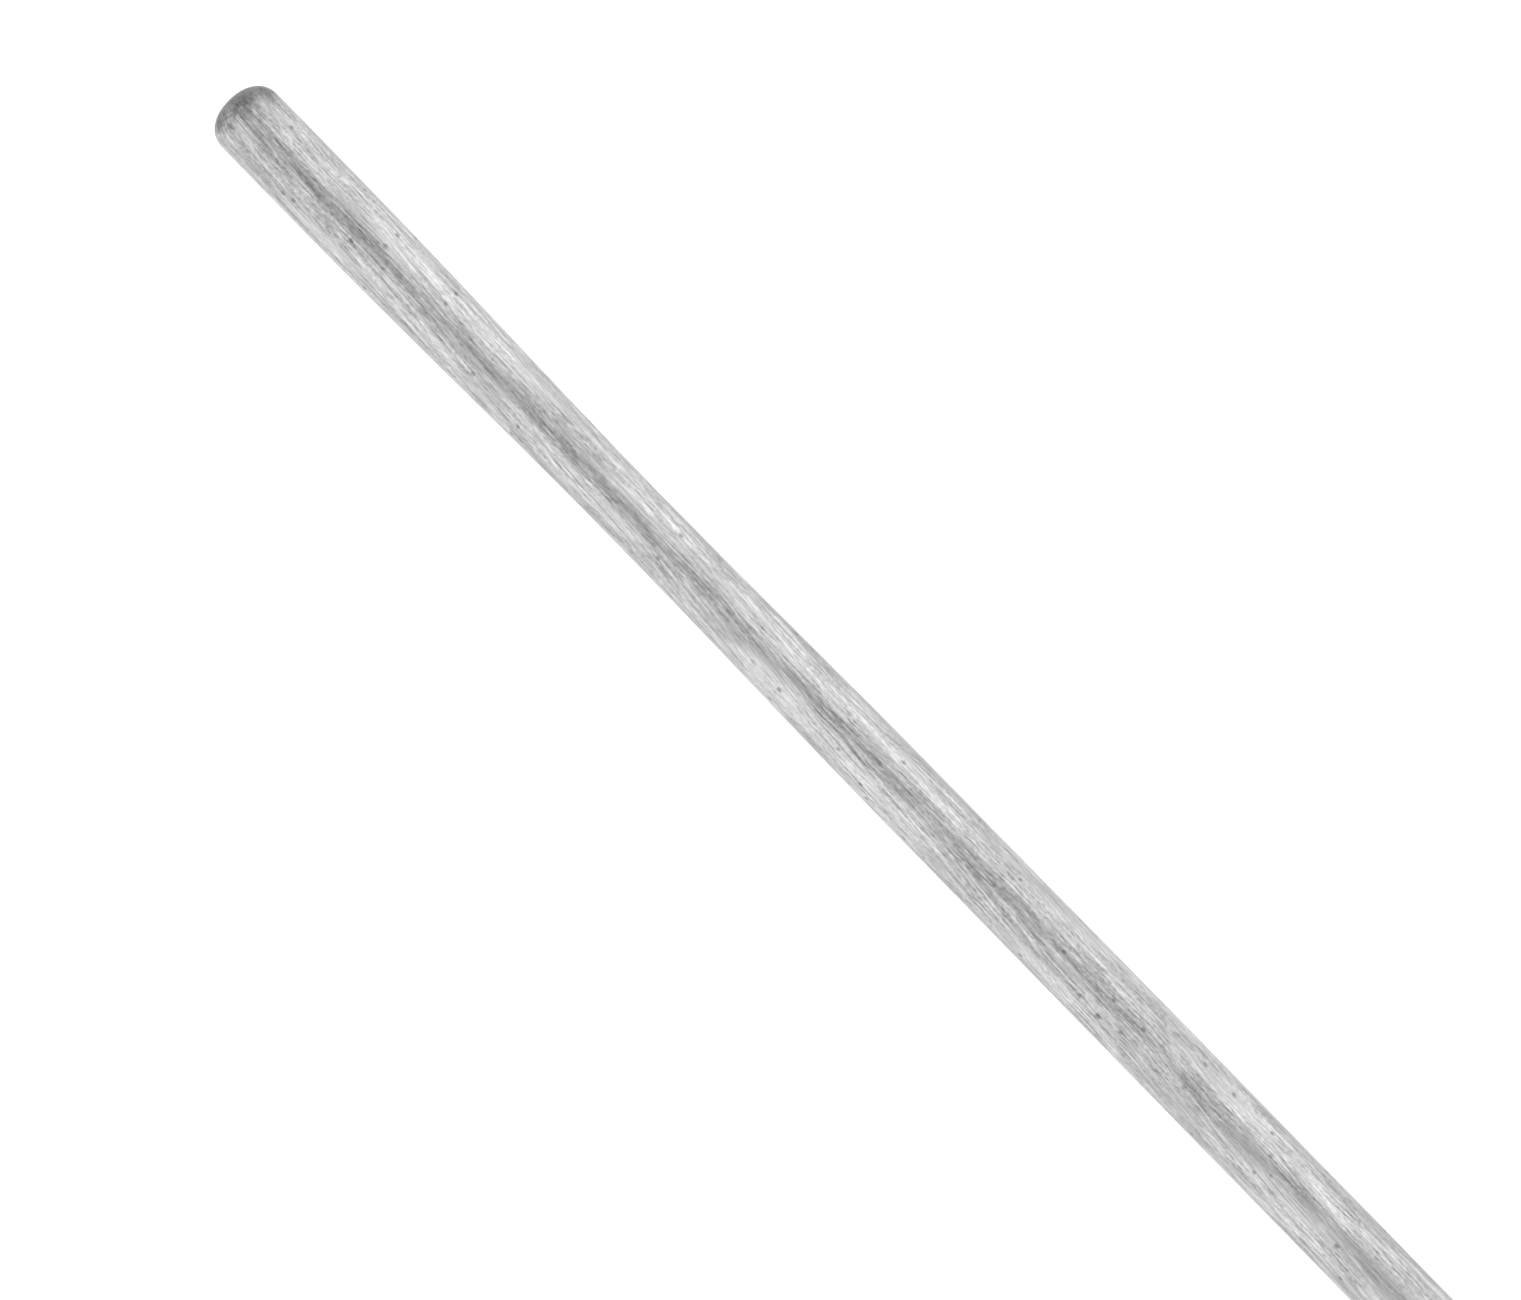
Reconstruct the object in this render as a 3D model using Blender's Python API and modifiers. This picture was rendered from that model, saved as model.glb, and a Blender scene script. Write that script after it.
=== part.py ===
"""White cane that telescopes: three nested aluminium tubes, two twist locks and a rubber grip.

Metres, +Z up. The cane lies on the flat of its grip, fully extended, along X: the bare rounded
nose points to +X and the strap lug to -X. The origin is under the middle of the whole cane, on
the surface that it lies on. A station is a distance along the cane from the top tube's upper end,
towards the nose.
"""

import math

import bmesh
import bpy
from mathutils import Matrix, Vector

MM = 0.001

# Tubes, listed from the nose up: each tube slides into the next one.
LOWER_RADIUS = 4.8 * MM  # outer radius of the lower tube above its waist
TUBE_WALL = 0.8 * MM
TUBE_GAP = 1.0 * MM  # radial space between a tube and the bore of the next, filled by the shims
TOP_LENGTH = 370 * MM
MIDDLE_LENGTH = 370 * MM
LOWER_LENGTH = 370 * MM
OVERLAP = 45 * MM  # how much of a tube stays inside the next one at full length

# The closed end of the lower tube, as distances from the tip and radii.
DOME_LENGTH = 3.6 * MM
DOME_FLATNESS = 2.35  # 2 is a half ellipse, and more flattens the very end
NOSE_RADIUS = 5.0 * MM
NOSE_END = 18 * MM
WAIST_AT = 76 * MM
WAIST_RADIUS = 4.27 * MM
SHOULDER_AT = 128 * MM
SHOULDER_RADIUS = 4.72 * MM
SHAFT_AT = 180 * MM
SOLID_NOSE = 16 * MM  # the tube is closed and solid for this length

# Clearances between separate pieces.
FIT = 0.25 * MM  # pieces that are fixed to each other
RUN = 0.25 * MM  # pieces that turn or slide on each other
MOUTH_GAP = 0.4 * MM
STOP_GAP = 0.4 * MM

# Twist lock at the end of the top tube and of the middle tube.
FERRULE_WALL = 1.0 * MM
FERRULE_LENGTH = 18 * MM  # length on the outside of its tube, its flange included
FERRULE_FLANGE = 4 * MM
FERRULE_LIP = 2 * MM
FERRULE_LIP_GAP = 0.3 * MM
COLLET_LENGTH = 11 * MM
COLLET_FLANGE = 2 * MM
COLLET_STEP = 0.9 * MM
COLLET_TIP_WALL = 1.0 * MM
COLLET_SLOT = 0.8 * MM
COLLET_SLOT_PAIRS = 3
COLLAR_WALL = 1.5 * MM
COLLAR_MOUTH = 2.5 * MM
COLLAR_CHAMFER = 0.8 * MM
FLUTES = 12
FLUTE_RADIUS = 1.6 * MM
FLUTE_DEPTH = 0.6 * MM
FLUTE_END = 4 * MM  # plain band left between the flutes and the collar's mouth

# Shims and plug on the hidden upper end of the middle and lower tubes.
SHIM_SPLIT = 0.8 * MM
PEG_AT = 22 * MM  # distance of the shims' pegs from the tube's upper end
PEG_RADIUS = 1.4 * MM
PEG_SKIN = 0.05 * MM  # least depth of a peg's root under the shim's outer face
PLUG_FLANGE = 3 * MM
PLUG_SPIGOT = 12 * MM
VENT_RADIUS = 1.0 * MM

# Grip, its trim ring, the end cap with the strap lug, and what is under them.
GRIP_LENGTH = 190 * MM
GRIP_TOP_ROUNDING = 3 * MM
GRIP_LOW_ROUNDING = 1.2 * MM
FLAT_TOP_DEPTH = 1.8 * MM  # how far the grip's flat is cut into its thick end
FLAT_LOW_DEPTH = 1.3 * MM  # and into its thin end
FLOOR_GAP = 0.1 * MM  # height of the upper collar above the surface the cane lies on
RING_LENGTH = 5 * MM
RING_STEP = 0.6 * MM  # height of the ring above that surface
RING_RIM = 1.2 * MM
CAP_FLANGE = 3.5 * MM
CAP_ROUNDING = 1.5 * MM
CAP_SPIGOT = 22 * MM
PIN_RADIUS = 1.5 * MM
PIN_AT = 12 * MM
LUG_LENGTH = 8 * MM  # from the cap's flange to the middle of the strap hole
LUG_RADIUS = 6.5 * MM
LUG_THICKNESS = 6 * MM
STRAP_HOLE_RADIUS = 3.5 * MM
BUFFER_LENGTH = 6 * MM
SLEEVE_WALL = 0.3 * MM

SEGMENTS = 32
SMALL_SEGMENTS = 12

# Radii that follow from the sizes above. Index 0 is the top tube, 1 the middle and 2 the lower.
MIDDLE_BORE = LOWER_RADIUS + TUBE_GAP
MIDDLE_RADIUS = MIDDLE_BORE + TUBE_WALL
TOP_BORE = MIDDLE_RADIUS + TUBE_GAP
TOP_RADIUS = TOP_BORE + TUBE_WALL
RADII = (TOP_RADIUS, MIDDLE_RADIUS, LOWER_RADIUS)
BORES = (TOP_BORE, MIDDLE_BORE, LOWER_RADIUS - TUBE_WALL)

# Stations of each tube's upper and lower end.
STARTS = [0.0]
ENDS = [TOP_LENGTH]
for tube_length in (MIDDLE_LENGTH, LOWER_LENGTH):
    STARTS.append(ENDS[-1] - OVERLAP)
    ENDS.append(STARTS[-1] + tube_length)
TIP = ENDS[2]
CAP_END = -(FIT + CAP_FLANGE + LUG_LENGTH + LUG_RADIUS)


def collar_radius(outer):
    """Outer radius of the collar on tube number outer."""
    thread = RADII[outer] + FIT + FERRULE_WALL
    return thread + RUN + COLLAR_WALL


AXIS_HEIGHT = collar_radius(0) + FLOOR_GAP  # also the distance from the axis to the grip's flat
GRIP_BORE = TOP_RADIUS + FIT
GRIP_TOP_RADIUS = AXIS_HEIGHT + FLAT_TOP_DEPTH
GRIP_LOW_RADIUS = AXIS_HEIGHT + FLAT_LOW_DEPTH
CAP_RADIUS = AXIS_HEIGHT - FIT
ALONG_X = (0.0, math.pi / 2, 0.0)  # turns local +Z to +X and local +X to -Z


def clear_scene():
    for obj in list(bpy.data.objects):
        bpy.data.objects.remove(obj, do_unlink=True)


def new_collection(name, shown=True):
    collection = bpy.data.collections.new(name)
    bpy.context.scene.collection.children.link(collection)
    collection.hide_render = not shown
    return collection


def new_material(name, colour, roughness, metallic=0.0):
    material = bpy.data.materials.new(name)
    material.use_nodes = True
    shader = material.node_tree.nodes["Principled BSDF"]
    shader.inputs["Base Color"].default_value = (*colour, 1.0)
    shader.inputs["Roughness"].default_value = roughness
    shader.inputs["Metallic"].default_value = metallic
    return material


clear_scene()
CANE = new_collection("white_cane")
CUTTERS = new_collection("cutters", shown=False)
BARE_METAL = new_material("bare_aluminium", (0.60, 0.60, 0.60), 0.42, 1.0)
WHITE_PAINT = new_material("white_enamel", (0.86, 0.86, 0.84), 0.30)
REFLECTIVE = new_material("reflective_white", (0.80, 0.81, 0.82), 0.35)
RUBBER = new_material("black_rubber", (0.025, 0.025, 0.027), 0.75)
BLACK_PLASTIC = new_material("black_plastic", (0.03, 0.03, 0.032), 0.45)
NYLON = new_material("natural_nylon", (0.78, 0.76, 0.70), 0.5)
STEEL = new_material("steel", (0.55, 0.55, 0.56), 0.3, 1.0)


def body_empty(name, station, parent=None):
    """An empty on the cane's axis, which carries the pieces of one moving body."""
    empty = bpy.data.objects.new(name, None)
    empty.empty_display_size = 20 * MM
    CANE.objects.link(empty)
    middle = (CAP_END + TIP) / 2
    empty.location = (station - middle, 0.0, AXIS_HEIGHT)
    if parent:
        empty.parent = parent
        empty.location = (station - parent["station"], 0.0, 0.0)
    empty["station"] = station
    return empty


def place(obj, body, station, material):
    """Puts a piece that is modelled along local +Z on the cane's axis, from that station on."""
    CANE.objects.link(obj)
    obj.parent = body
    obj.location = (station - body["station"], 0.0, 0.0)
    obj.rotation_euler = ALONG_X
    obj.data.materials.append(material)
    return obj


def turned(name, profile, closed=True):
    """A solid of revolution about local Z. The profile holds (radius, height) points and runs down
    the outer side and up the inner side. An open profile starts and ends on the axis."""
    mesh = bpy.data.meshes.new(name)
    bm = bmesh.new()
    points = [bm.verts.new((radius, 0.0, height)) for radius, height in profile]
    for first, second in zip(points, points[1:]):
        bm.edges.new((first, second))
    if closed:
        bm.edges.new((points[-1], points[0]))
    bm.to_mesh(mesh)
    bm.free()
    obj = bpy.data.objects.new(name, mesh)
    screw = obj.modifiers.new("turn", "SCREW")
    screw.axis = "Z"
    screw.steps = SEGMENTS
    screw.render_steps = SEGMENTS
    screw.use_merge_vertices = True
    screw.merge_threshold = 0.000001
    screw.use_smooth_shade = True
    return obj


def ring_profile(bore, radius, start, end):
    return [(radius, end), (radius, start), (bore, start), (bore, end)]


def helper(name, bm, body, station):
    """A hidden mesh that is cut from, or joined to, a piece of that body."""
    mesh = bpy.data.meshes.new(name)
    bm.to_mesh(mesh)
    bm.free()
    obj = bpy.data.objects.new(name, mesh)
    CUTTERS.objects.link(obj)
    obj.parent = body
    obj.location = (station - body["station"], 0.0, 0.0)
    obj.rotation_euler = ALONG_X
    obj.hide_render = True
    obj.display_type = "WIRE"
    return obj


def boolean(obj, other, operation="DIFFERENCE"):
    modifier = obj.modifiers.new(other.name, "BOOLEAN")
    modifier.operation = operation
    modifier.object = other


def rod(bm, radius, start, end, segments=SMALL_SEGMENTS):
    """Adds a closed cylinder that runs from one point to another."""
    start = Vector(start)
    axis = Vector(end) - start
    turn = Vector((0, 0, 1)).rotation_difference(axis).to_matrix().to_4x4()
    bmesh.ops.create_cone(
        bm,
        cap_ends=True,
        segments=segments,
        radius1=radius,
        radius2=radius,
        depth=axis.length,
        matrix=Matrix.Translation(start + axis / 2) @ turn,
    )


def block(bm, low, high):
    """Adds a box between two corners."""
    low = Vector(low)
    high = Vector(high)
    scale = Matrix.Diagonal((*(high - low), 1.0))
    bmesh.ops.create_cube(bm, size=1.0, matrix=Matrix.Translation((low + high) / 2) @ scale)


def eased(start, end, share):
    """A value that leaves start and reaches end with no slope."""
    return start + (end - start) * (1 - math.cos(math.pi * share)) / 2


def nose_outline():
    """(radius, distance from the tip) of the lower tube's outside, from the tip to the shaft."""
    dome_steps = 6
    outline = [(0.0, 0.0)]
    for step in range(1, dome_steps + 1):
        turn = math.pi / 2 * step / dome_steps
        height = DOME_LENGTH * (1 - math.cos(turn))
        outline.append((NOSE_RADIUS * math.sin(turn) ** (2 / DOME_FLATNESS), height))
    stations = (
        (NOSE_END, NOSE_RADIUS, 1),
        (WAIST_AT, WAIST_RADIUS, 6),
        (SHOULDER_AT, SHOULDER_RADIUS, 5),
        (SHAFT_AT, LOWER_RADIUS, 2),
    )
    last_at = DOME_LENGTH
    last_radius = NOSE_RADIUS
    for at, radius, steps in stations:
        for step in range(1, steps + 1):
            share = step / steps
            outline.append((eased(last_radius, radius, share), last_at + (at - last_at) * share))
        last_at = at
        last_radius = radius
    return outline


def bore_outline(outline):
    """The inside of the lower tube, one wall in from its outside, from the solid nose upwards."""
    inside = [(radius - TUBE_WALL, at) for radius, at in outline if at > SOLID_NOSE]
    floor = (inside[0][0], SOLID_NOSE)
    return [(0.0, SOLID_NOSE), floor, *inside]


def make_lower_tube(body):
    """The tube that touches the ground: bare metal, closed and rounded at the end by swaging."""
    outline = nose_outline()
    inside = bore_outline(outline)
    inside_up = [(radius, LOWER_LENGTH - at) for radius, at in inside]
    outside_down = [(radius, LOWER_LENGTH - at) for radius, at in outline]
    rim = [(LOWER_RADIUS - TUBE_WALL, 0.0), (LOWER_RADIUS, 0.0)]
    profile = [*outside_down, rim[1], rim[0], *reversed(inside_up)]
    tube = turned("lower_tube", profile, closed=False)
    return place(tube, body, STARTS[2], BARE_METAL)


def make_tube(name, index, body, material):
    length = ENDS[index] - STARTS[index]
    profile = ring_profile(BORES[index], RADII[index], 0.0, length)
    return place(turned(name, profile), body, STARTS[index], material)


def make_ferrule(name, outer, body):
    """Threaded sleeve on the end of a tube. Its lip stops the shims of the tube inside."""
    bore = RADII[outer] + FIT
    thread = bore + FERRULE_WALL
    lip = RADII[outer + 1] + FERRULE_LIP_GAP
    end = FERRULE_LENGTH + FIT
    profile = [
        (thread, end + FERRULE_LIP),
        (thread, FERRULE_FLANGE),
        (collar_radius(outer) - COLLAR_CHAMFER, FERRULE_FLANGE),
        (collar_radius(outer) - COLLAR_CHAMFER, FERRULE_FLANGE / 2),
        (bore + FIT, 0.0),
        (bore, 0.0),
        (bore, end),
        (lip, end),
        (lip, end + FERRULE_LIP),
    ]
    return place(turned(name, profile), body, ENDS[outer] - FERRULE_LENGTH, BLACK_PLASTIC)


def collet_start(outer):
    return ENDS[outer] + FIT + FERRULE_LIP + FIT


def collet_radii(outer):
    """(bore, flange, root of the cone, tip of the cone) of a collet."""
    bore = RADII[outer + 1] + FIT
    flange = RADII[outer] + FIT + FERRULE_WALL
    return bore, flange, flange - COLLET_STEP, bore + COLLET_TIP_WALL


def make_collet(name, outer, body):
    """Split nylon cone that the collar squeezes onto the tube inside."""
    bore, flange, root, tip = collet_radii(outer)
    profile = [
        (tip, COLLET_LENGTH),
        (root, COLLET_FLANGE),
        (flange, COLLET_FLANGE),
        (flange, 0.0),
        (bore, 0.0),
        (bore, COLLET_LENGTH),
    ]
    collet = place(turned(name, profile), body, collet_start(outer), NYLON)
    for pair in range(COLLET_SLOT_PAIRS):
        bm = bmesh.new()
        half = COLLET_SLOT / 2
        block(bm, (-2 * flange, -half, 2 * COLLET_FLANGE), (2 * flange, half, 2 * COLLET_LENGTH))
        # A quarter step keeps each slot off the corners of the turned surface.
        angle = math.pi * (pair + 0.25) / COLLET_SLOT_PAIRS
        bmesh.ops.rotate(bm, verts=bm.verts, matrix=Matrix.Rotation(angle, 3, "Z"))
        boolean(collet, helper(f"{name}_slot_{pair}", bm, body, collet_start(outer)))
    return collet


def collar_start(outer):
    return ENDS[outer] - FERRULE_LENGTH + FERRULE_FLANGE + STOP_GAP


def collar_end(outer):
    return collet_start(outer) + COLLET_LENGTH + RUN + COLLAR_MOUTH


def make_collar(name, outer, body):
    """Nut that is turned by hand: it screws onto the ferrule and pushes on the collet's cone."""
    radius = collar_radius(outer)
    bore = RADII[outer] + FIT + FERRULE_WALL + RUN
    mouth = RADII[outer + 1] + MOUTH_GAP
    _, _, root, tip = collet_radii(outer)
    length = collar_end(outer) - collar_start(outer)
    cone_start = collet_start(outer) - collar_start(outer) + COLLET_FLANGE + RUN
    cone_end = length - COLLAR_MOUTH
    profile = [
        (mouth + COLLAR_CHAMFER, length),
        (radius, length - COLLAR_MOUTH),
        (radius, COLLAR_CHAMFER),
        (radius - COLLAR_CHAMFER, 0.0),
        (bore, 0.0),
        (bore, cone_start),
        (root + RUN, cone_start),
        (tip + RUN, cone_end),
        (mouth, cone_end),
        (mouth, length),
    ]
    collar = place(turned(name, profile), body, collar_start(outer), BLACK_PLASTIC)
    bm = bmesh.new()
    centre = radius + FLUTE_RADIUS - FLUTE_DEPTH
    for flute in range(FLUTES):
        angle = 2 * math.pi * (flute + 0.25) / FLUTES
        foot = Vector((centre * math.cos(angle), centre * math.sin(angle), -2 * FLUTE_RADIUS))
        top = Vector((foot.x, foot.y, length - COLLAR_MOUTH - FLUTE_END))
        rod(bm, FLUTE_RADIUS, foot, top)
    boolean(collar, helper(name + "_flutes", bm, body, collar_start(outer)))
    return collar


def shim_radii(index):
    """Inner and outer radius of the shims between a tube and the bore of the next one."""
    return RADII[index] + FIT, BORES[index - 1] - RUN


def make_shims(name, index, body):
    """Two thin half sleeves that guide the tube, each held by a peg through the tube's wall."""
    inner, outer = shim_radii(index)
    length = OVERLAP - FIT
    for letter, side in (("a", 1), ("b", -1)):
        shim = turned(f"{name}_shim_{letter}", ring_profile(inner, outer, 0.0, length))
        place(shim, body, STARTS[index], NYLON)
        bm = bmesh.new()
        reach = 2 * outer
        block(bm, (-reach, -reach, -reach), (reach, SHIM_SPLIT / 2, 2 * length))
        if side < 0:
            bmesh.ops.rotate(bm, verts=bm.verts, matrix=Matrix.Rotation(math.pi, 3, "Z"))
        boolean(shim, helper(f"{name}_shim_cut_{letter}", bm, body, STARTS[index]))
        bm = bmesh.new()
        root = side * math.sqrt((outer - PEG_SKIN) ** 2 - PEG_RADIUS**2)
        tip = side * (BORES[index] + FIT)
        rod(bm, PEG_RADIUS, (0, tip, PEG_AT), (0, root, PEG_AT))
        boolean(shim, helper(f"{name}_peg_{letter}", bm, body, STARTS[index]), "UNION")


def drill_peg_holes(tube, name, index, body):
    bm = bmesh.new()
    reach = 2 * RADII[index]
    rod(bm, PEG_RADIUS + FIT, (0, -reach, PEG_AT), (0, reach, PEG_AT))
    boolean(tube, helper(name + "_peg_holes", bm, body, STARTS[index]))


def make_plug(name, index, body):
    """Closes a tube's upper end, keeps the shims in place and guides the tube in the next one."""
    _, outer = shim_radii(index)
    spigot = BORES[index] - FIT
    # Heights run from the top of the flange to the end of the spigot.
    profile = [
        (spigot, PLUG_FLANGE + PLUG_SPIGOT),
        (spigot, PLUG_FLANGE),
        (outer, PLUG_FLANGE),
        (outer, 0.0),
        (VENT_RADIUS, 0.0),
        (VENT_RADIUS, PLUG_FLANGE + PLUG_SPIGOT),
    ]
    return place(turned(name, profile), body, STARTS[index] - FIT - PLUG_FLANGE, NYLON)


def grip_radius(height):
    """Radius of the tapered grip at a height above its thick end."""
    return GRIP_TOP_RADIUS + (GRIP_LOW_RADIUS - GRIP_TOP_RADIUS) * height / GRIP_LENGTH


def make_grip(body):
    """Tapered rubber sleeve with a flat along its underside, which keeps the cane from rolling."""
    corner_steps = 4
    profile = []
    for step in range(corner_steps + 1):
        turn = math.pi / 2 * step / corner_steps
        edge = GRIP_LOW_ROUNDING * (1 - math.sin(turn))
        height = GRIP_LENGTH - GRIP_LOW_ROUNDING * (1 - math.cos(turn))
        profile.append((grip_radius(height) - edge, height))
    for step in range(corner_steps + 1):
        turn = math.pi / 2 * step / corner_steps
        edge = GRIP_TOP_ROUNDING * (1 - math.cos(turn))
        height = GRIP_TOP_ROUNDING * (1 - math.sin(turn))
        profile.append((grip_radius(height) - edge, height))
    profile += [(GRIP_BORE, 0.0), (GRIP_BORE, GRIP_LENGTH)]
    grip = place(turned("grip", profile), body, 0.0, RUBBER)
    bm = bmesh.new()
    reach = 2 * GRIP_TOP_RADIUS
    block(bm, (AXIS_HEIGHT, -reach, -reach), (reach, reach, GRIP_LENGTH + reach))
    boolean(grip, helper("grip_flat", bm, body, 0.0))
    return grip


def ring_start():
    return GRIP_LENGTH + FIT


def make_grip_ring(body):
    """Hard ring that closes the grip's thin end."""
    radius = AXIS_HEIGHT - RING_STEP
    profile = [
        (GRIP_BORE + RING_RIM, RING_LENGTH),
        (radius, RING_LENGTH / 2),
        (radius, 0.0),
        (GRIP_BORE, 0.0),
        (GRIP_BORE, RING_LENGTH),
    ]
    return place(turned("grip_ring", profile), body, ring_start(), BLACK_PLASTIC)


def make_end_cap(body):
    """Hard plug in the top tube, with a lug whose hole takes the wrist strap."""
    start = -FIT - CAP_FLANGE
    spigot = TOP_BORE - FIT
    flange = CAP_RADIUS - CAP_ROUNDING
    corner_steps = 4
    profile = [(0.0, CAP_FLANGE + FIT + CAP_SPIGOT), (spigot, CAP_FLANGE + FIT + CAP_SPIGOT)]
    profile += [(spigot, CAP_FLANGE), (CAP_RADIUS, CAP_FLANGE)]
    for step in range(corner_steps + 1):
        turn = math.pi / 2 * step / corner_steps
        bulge = CAP_ROUNDING * math.cos(turn)
        profile.append((flange + bulge, CAP_ROUNDING * (1 - math.sin(turn))))
    profile.append((0.0, 0.0))
    cap = place(turned("end_cap", profile, closed=False), body, start, BLACK_PLASTIC)
    # The lug is as thick as the strap hole is deep, along the vertical.
    half = LUG_THICKNESS / 2
    bm = bmesh.new()
    block(bm, (-half, -LUG_RADIUS, -LUG_LENGTH), (half, LUG_RADIUS, CAP_FLANGE / 2))
    boolean(cap, helper("cap_lug_neck", bm, body, start), "UNION")
    bm = bmesh.new()
    rod(bm, LUG_RADIUS, (-half, 0, -LUG_LENGTH), (half, 0, -LUG_LENGTH), SEGMENTS)
    boolean(cap, helper("cap_lug_round", bm, body, start), "UNION")
    bm = bmesh.new()
    reach = 2 * LUG_THICKNESS
    rod(bm, STRAP_HOLE_RADIUS, (-reach, 0, -LUG_LENGTH), (reach, 0, -LUG_LENGTH), SEGMENTS)
    boolean(cap, helper("strap_hole", bm, body, start))
    return cap


def make_cap_pin(body, tube, cap):
    """Steel cross pin, under the grip, that holds the end cap in the top tube."""
    bm = bmesh.new()
    rod(bm, PIN_RADIUS + FIT, (0, -2 * TOP_RADIUS, PIN_AT), (0, 2 * TOP_RADIUS, PIN_AT))
    hole = helper("cap_pin_hole", bm, body, 0.0)
    boolean(tube, hole)
    boolean(cap, hole)
    mesh = bpy.data.meshes.new("cap_pin")
    bm = bmesh.new()
    half = TOP_RADIUS - FIT
    rod(bm, PIN_RADIUS, (0, -half, PIN_AT), (0, half, PIN_AT))
    bm.to_mesh(mesh)
    bm.free()
    return place(bpy.data.objects.new("cap_pin", mesh), body, 0.0, STEEL)


def make_buffer(body):
    """Rubber disc that the middle tube meets when the cane is closed."""
    radius = TOP_BORE - FIT
    profile = ring_profile(VENT_RADIUS, radius, 0.0, BUFFER_LENGTH)
    return place(turned("buffer_pad", profile), body, CAP_SPIGOT + FIT, RUBBER)


def make_reflective_sleeve(body):
    """Sleeve of reflective sheet on the bare part of the top tube, which never slides."""
    start = ring_start() + RING_LENGTH + FIT
    end = ENDS[0] - FERRULE_LENGTH - FIT
    bore = TOP_RADIUS + FIT
    profile = ring_profile(bore, bore + SLEEVE_WALL, 0.0, end - start)
    return place(turned("reflective_sleeve", profile), body, start, REFLECTIVE)


def make_lock(number, outer, body):
    """Ferrule, collet and collar at the end of a tube. The collar's body turns on the collet's."""
    make_ferrule(f"ferrule_{number}", outer, body)
    collet_body = body_empty(f"collet_{number}_body", collet_start(outer), body)
    make_collet(f"collet_{number}", outer, collet_body)
    collar_body = body_empty(f"collar_{number}_body", collar_start(outer), collet_body)
    make_collar(f"collar_{number}", outer, collar_body)


def make_handle():
    body = body_empty("handle_body", STARTS[0])
    tube = make_tube("top_tube", 0, body, WHITE_PAINT)
    make_grip(body)
    make_grip_ring(body)
    cap = make_end_cap(body)
    make_cap_pin(body, tube, cap)
    make_buffer(body)
    make_reflective_sleeve(body)
    make_lock(1, 0, body)
    return body


def make_middle(parent):
    body = body_empty("middle_body", STARTS[1], parent)
    tube = make_tube("middle_tube", 1, body, WHITE_PAINT)
    drill_peg_holes(tube, "middle", 1, body)
    make_plug("middle_plug", 1, body)
    make_shims("middle", 1, body)
    make_lock(2, 1, body)
    return body


def make_lower(parent):
    body = body_empty("lower_body", STARTS[2], parent)
    tube = make_lower_tube(body)
    drill_peg_holes(tube, "lower", 2, body)
    make_plug("lower_plug", 2, body)
    make_shims("lower", 2, body)


make_lower(make_middle(make_handle()))
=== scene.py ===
# %% [markdown]
# # A telescoping white cane, finished piece by piece
#
# The working model gives this cane its sizes, its bodies and its joints: three nested tubes, two
# twist locks and a rubber grip. This lesson dresses it. We load that model as a fixed frame, keep
# the hidden pieces and give them real finishes, and model every visible piece again with round
# edges, flutes and moulded texture. Nothing here moves or resizes the working model.

# %% Load the frame
import math

import bmesh
import bpy
from mathutils import Matrix, Vector, noise


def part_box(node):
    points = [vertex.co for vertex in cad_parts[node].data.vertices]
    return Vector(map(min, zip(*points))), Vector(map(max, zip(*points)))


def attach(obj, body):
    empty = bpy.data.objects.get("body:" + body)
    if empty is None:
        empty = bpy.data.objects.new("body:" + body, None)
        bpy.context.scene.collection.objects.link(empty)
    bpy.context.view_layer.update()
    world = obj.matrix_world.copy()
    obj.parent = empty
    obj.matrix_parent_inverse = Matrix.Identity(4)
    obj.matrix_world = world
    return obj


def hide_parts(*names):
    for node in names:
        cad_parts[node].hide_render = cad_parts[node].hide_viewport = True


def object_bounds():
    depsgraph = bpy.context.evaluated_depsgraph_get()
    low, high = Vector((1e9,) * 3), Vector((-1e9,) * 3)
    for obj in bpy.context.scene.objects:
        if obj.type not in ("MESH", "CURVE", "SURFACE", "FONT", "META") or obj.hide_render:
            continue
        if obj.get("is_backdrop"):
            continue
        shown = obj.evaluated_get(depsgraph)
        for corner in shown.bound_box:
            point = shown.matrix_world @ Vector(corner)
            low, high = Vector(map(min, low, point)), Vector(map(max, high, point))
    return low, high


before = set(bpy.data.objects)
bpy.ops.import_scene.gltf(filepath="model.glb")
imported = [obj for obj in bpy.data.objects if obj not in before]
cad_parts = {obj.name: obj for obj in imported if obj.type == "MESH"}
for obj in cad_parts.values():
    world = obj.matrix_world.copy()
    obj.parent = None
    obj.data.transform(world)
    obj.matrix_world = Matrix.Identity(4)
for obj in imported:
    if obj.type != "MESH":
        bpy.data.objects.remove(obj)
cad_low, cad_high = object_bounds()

MM = 0.001

# %% [markdown]
# ## Where things are
#
# The cane lies along X with its nose towards +X. Every tube, lock and plug shares one axis, so a
# piece needs only where it starts and ends along X and how far it reaches from that axis. Both are
# read from the frame, so the new pieces fit the working model without any fitting by eye.

# %% Read the axis and the extents
tube_low, tube_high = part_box("lower_tube")
AXIS = Vector((0, 0, (tube_low.z + tube_high.z) / 2))
TIP = tube_high.x
NOSE_RADIUS = (tube_high.y - tube_low.y) / 2


def extent(node):
    """(start, end, radius) of a round node, as lengths along X and from the axis."""
    low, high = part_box(node)
    return low.x, high.x, (high.y - low.y) / 2


print(f"axis {AXIS.z / MM:.2f} mm up, nose tip at {TIP / MM:.1f} mm")

# %% [markdown]
# ## Shader maths that reads like maths
#
# A finish is a network of nodes, and most of its nodes only add, scale or compare numbers. Wrapping
# a node's output in a small class lets us write `0.4 + 0.2 * streaks` and have Python add the Math
# nodes. The reflected forms, such as `__rsub__`, are what make `1 - mask` work.

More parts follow.
